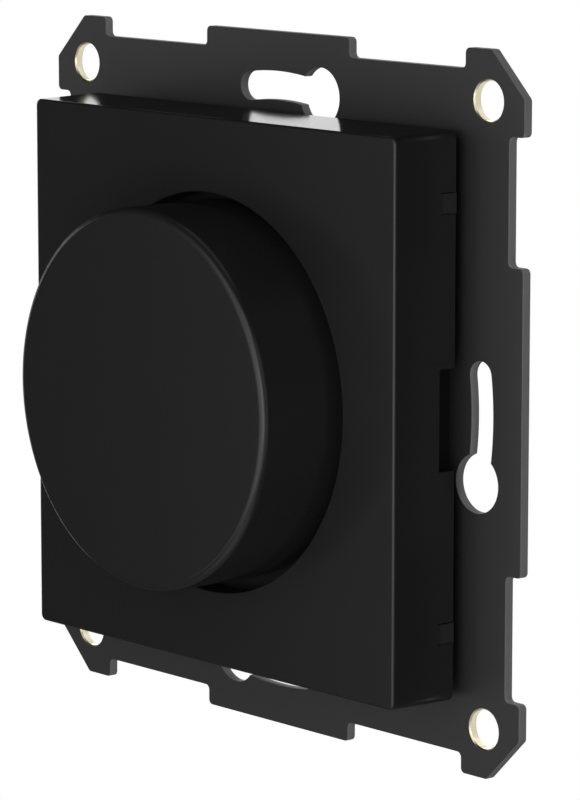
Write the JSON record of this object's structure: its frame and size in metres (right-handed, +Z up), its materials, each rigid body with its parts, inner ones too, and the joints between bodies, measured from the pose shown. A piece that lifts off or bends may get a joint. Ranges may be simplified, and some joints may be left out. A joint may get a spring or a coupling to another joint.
{
  "type": "rotary light dimmer",
  "caption": "Battery-powered wireless light dimmer insert: square cover, turn-and-push knob and a steel mounting plate with curved keyhole slots and corner holes.",
  "frame": {"origin": "centre of the mounting plate on its rear (wall) face, on the knob's axis", "axes": "+Z up, +X to the right seen from the room, -Y out of the wall towards the room, +Y into the wall"},
  "size_m": [0.0708, 0.0192, 0.0708],
  "materials": {
    "plate_paint": "black powder coat, satin",
    "black_plastic": "matt black moulding with a fine spark grain",
    "brass": "bright turned brass",
    "zinc_steel": "zinc plated steel",
    "spring_steel": "bright spring steel",
    "shaft_metal": "turned, nickel plated",
    "encoder_plastic": "black engineering plastic",
    "contact_metal": "tinned spring bronze",
    "circuit_board": "green solder mask",
    "pale_ceramic": "ceramic chip parts",
    "lamp_lens": "milky lens",
    "dark_ferrite": "moulded dark parts",
    "pale_plastic": "off-white button",
    "cell_steel": "bright nickel plated can"
  },
  "bodies": {
    "housing": {"mounting_plate": "plate_paint", "corner_bushes": "brass", "base_housing": "black_plastic", "plate_screws": "zinc_steel", "front_cover": "black_plastic", "encoder_base": "encoder_plastic", "push_dome": "spring_steel", "detent_spring": "spring_steel", "encoder_frame": "zinc_steel", "shaft_bush": "shaft_metal", "encoder_pins": "contact_metal", "main_board": "circuit_board", "board_screws": "zinc_steel", "radio_module": "circuit_board", "radio_shield": "zinc_steel", "chip_antenna": "pale_ceramic", "status_led": "lamp_lens", "power_coil": "dark_ferrite", "power_chip": "dark_ferrite", "board_capacitors": "pale_ceramic", "setup_switch": "dark_ferrite", "coin_cell": "cell_steel", "negative_contact": "contact_metal", "positive_contact": "contact_metal"},
    "rotor": {"encoder_rotor": "encoder_plastic"},
    "knob": {"knob_cap": "black_plastic", "knob_grip_spring": "spring_steel", "encoder_shaft": "shaft_metal"},
    "button": {"setup_plunger": "pale_plastic"}
  },
  "joints": [
    {"name": "knob_turn", "type": "hinge", "parent": "housing", "child": "rotor", "pos_m": [0, 0, 0], "axis": [0, -1, 0], "continuous": true},
    {"name": "knob_press", "type": "slide", "parent": "rotor", "child": "knob", "axis": [0, 1, 0], "range_m": [0, 0.0005], "stiffness_N_per_m": 3000, "springref_m": -0.0005, "deforming": ["push_dome"]},
    {"name": "setup_press", "type": "slide", "parent": "housing", "child": "button", "axis": [0, -1, 0], "range_m": [0, 0.00025], "stiffness_N_per_m": 2000, "springref_m": -0.00025}
  ]
}
